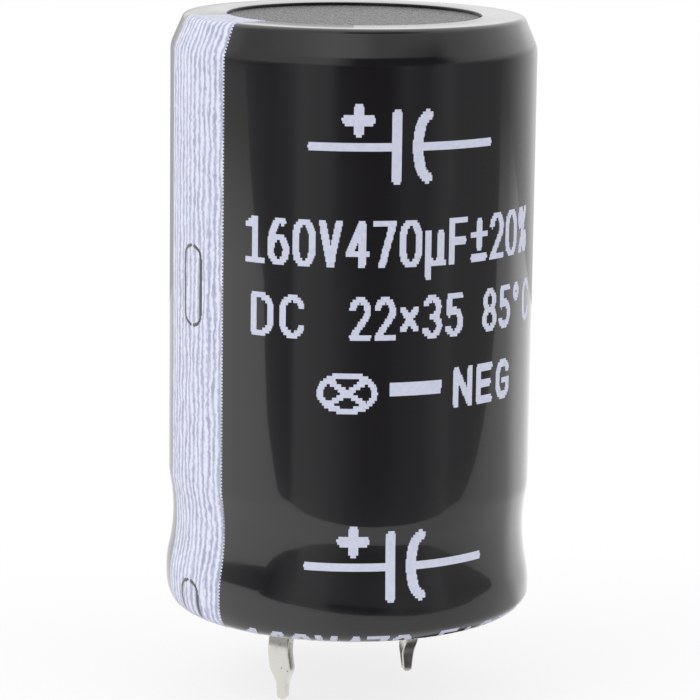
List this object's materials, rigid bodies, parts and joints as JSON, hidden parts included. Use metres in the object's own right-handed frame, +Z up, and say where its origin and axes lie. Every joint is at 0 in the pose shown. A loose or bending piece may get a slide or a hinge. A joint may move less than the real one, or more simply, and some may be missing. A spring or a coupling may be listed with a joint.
{
  "type": "snap-in electrolytic capacitor",
  "caption": "Upright radial electrolytic capacitor: sleeved aluminium can with a rolled bead, grained end disc and snap-in terminals at 10 mm pitch under a rubber-faced deck.",
  "frame": {"origin": "on the board's face, midway between the two terminals, under the centre of the can", "axes": "+Z up the can's axis, away from the board; +X from the negative terminal to the positive one"},
  "size_m": [0.0222, 0.0222, 0.0417],
  "materials": {
    "can_aluminium": "drawn, satin",
    "sleeve_pvc": "glossy shrink tube",
    "sleeve_print": "printed ink",
    "end_disc_plastic": "fine grain",
    "deck_rubber": "matt",
    "deck_phenolic": "pressed laminate",
    "tinned_strip": "tinned",
    "rivet_aluminium": "upset, satin",
    "foil_aluminium": "bright foil",
    "wound_foil_paper": "wound edges, damp",
    "closing_tape": "thin film"
  },
  "bodies": {
    "root": {"can": "can_aluminium", "sleeve": "sleeve_pvc", "end_disc": "end_disc_plastic", "deck_rubber": "deck_rubber", "deck_board": "deck_phenolic", "negative_terminal": "tinned_strip", "positive_terminal": "tinned_strip", "negative_rivet": "rivet_aluminium", "positive_rivet": "rivet_aluminium", "negative_washer": "rivet_aluminium", "positive_washer": "rivet_aluminium", "negative_tab": "foil_aluminium", "positive_tab": "foil_aluminium", "winding": "wound_foil_paper", "winding_tape": "closing_tape"}
  },
  "joints": []
}
